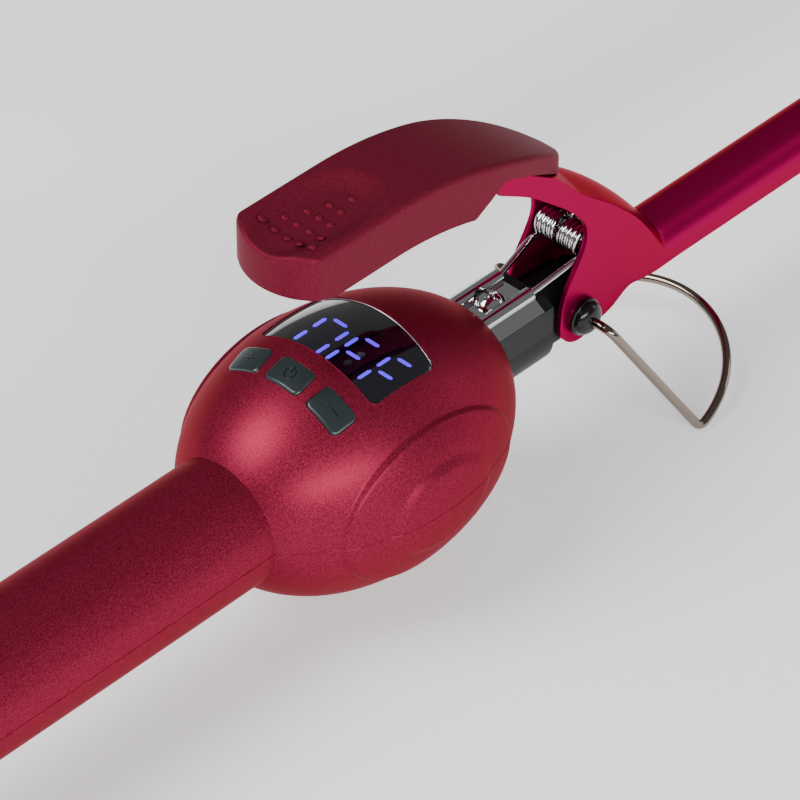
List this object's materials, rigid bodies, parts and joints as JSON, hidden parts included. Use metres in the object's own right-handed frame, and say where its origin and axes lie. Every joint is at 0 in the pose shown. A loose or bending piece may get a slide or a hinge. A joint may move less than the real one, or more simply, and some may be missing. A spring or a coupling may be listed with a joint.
{
  "type": "curling iron",
  "caption": "Electric curling iron with a round control housing, display and push keys, sprung spoon clamp with thumb lever, and a folding wire stand.",
  "frame": {"origin": "centre of the cord inlet's outer mouth at the rear end", "axes": "+X along the barrel's axis towards the cool tip, +Z towards the thumb lever and display, +Y to the left when looking along +X"},
  "size_m": [0.376, 0.0542, 0.0861],
  "materials": {
    "housing": "satin metallic maroon",
    "lever": "soft matt maroon",
    "lacquer": "glossy crimson lacquer",
    "black": "semi-gloss black",
    "cap": "gloss black",
    "keys": "satin black with fine icons",
    "window": "clear smoked gloss",
    "chrome": "polished",
    "steel": "plain",
    "board": "solder mask",
    "contact": "bright",
    "heater": "fired ceramic"
  },
  "bodies": {
    "housing": {"housing_upper": "housing", "housing_lower": "housing", "housing_screws": "steel", "display_lens": "window", "display_module": "black", "switch_carrier": "black", "tact_switches": "steel", "circuit_board": "board", "board_screws": "steel", "board_components": "black", "neck_block": "black", "barrel_tube": "lacquer", "barrel_collar": "steel", "heater_core": "heater", "heater_leads": "contact", "thermal_fuse": "steel", "cool_tip": "black", "pivot_screws": "cap", "pivot_washers": "chrome", "spring_plate": "chrome", "plate_screw": "chrome", "torsion_spring": "chrome", "end_cap": "black", "brush_holder": "black", "contact_brushes": "contact"},
    "clamp": {"clamp_spoon": "lacquer", "thumb_lever": "lever", "lever_screws": "steel"},
    "stand": {"stand_wire": "chrome"},
    "swivel": {"swivel_gland": "black", "slip_rings": "contact"},
    "plus_key": {"button_plus": "keys"},
    "power_key": {"button_power": "keys"},
    "minus_key": {"button_minus": "keys"}
  },
  "joints": [
    {"name": "clamp_hinge", "type": "hinge", "parent": "housing", "child": "clamp", "pos_m": [0.2256, 0, 0.001], "axis": [0, -1, 0], "range_deg": [0, 17], "stiffness_Nm_per_rad": 0.25, "springref_deg": -28.65, "deforming": ["torsion_spring"]},
    {"name": "stand_hinge", "type": "hinge", "parent": "housing", "child": "stand", "pos_m": [0.2256, 0, 0.001], "axis": [0, -1, 0], "range_deg": [-75, 12]},
    {"name": "cord_swivel", "type": "hinge", "parent": "housing", "child": "swivel", "pos_m": [0, 0, 0], "axis": [1, 0, 0], "continuous": true},
    {"name": "plus_press", "type": "slide", "parent": "housing", "child": "plus_key", "axis": [0, -0.4321, -0.9018], "range_m": [0, 0.0005], "stiffness_N_per_m": 200, "springref_m": -0.0005},
    {"name": "power_press", "type": "slide", "parent": "housing", "child": "power_key", "axis": [0, 0, -1], "range_m": [0, 0.0005], "stiffness_N_per_m": 200, "springref_m": -0.0005},
    {"name": "minus_press", "type": "slide", "parent": "housing", "child": "minus_key", "axis": [0, 0.4321, -0.9018], "range_m": [0, 0.0005], "stiffness_N_per_m": 200, "springref_m": -0.0005}
  ]
}
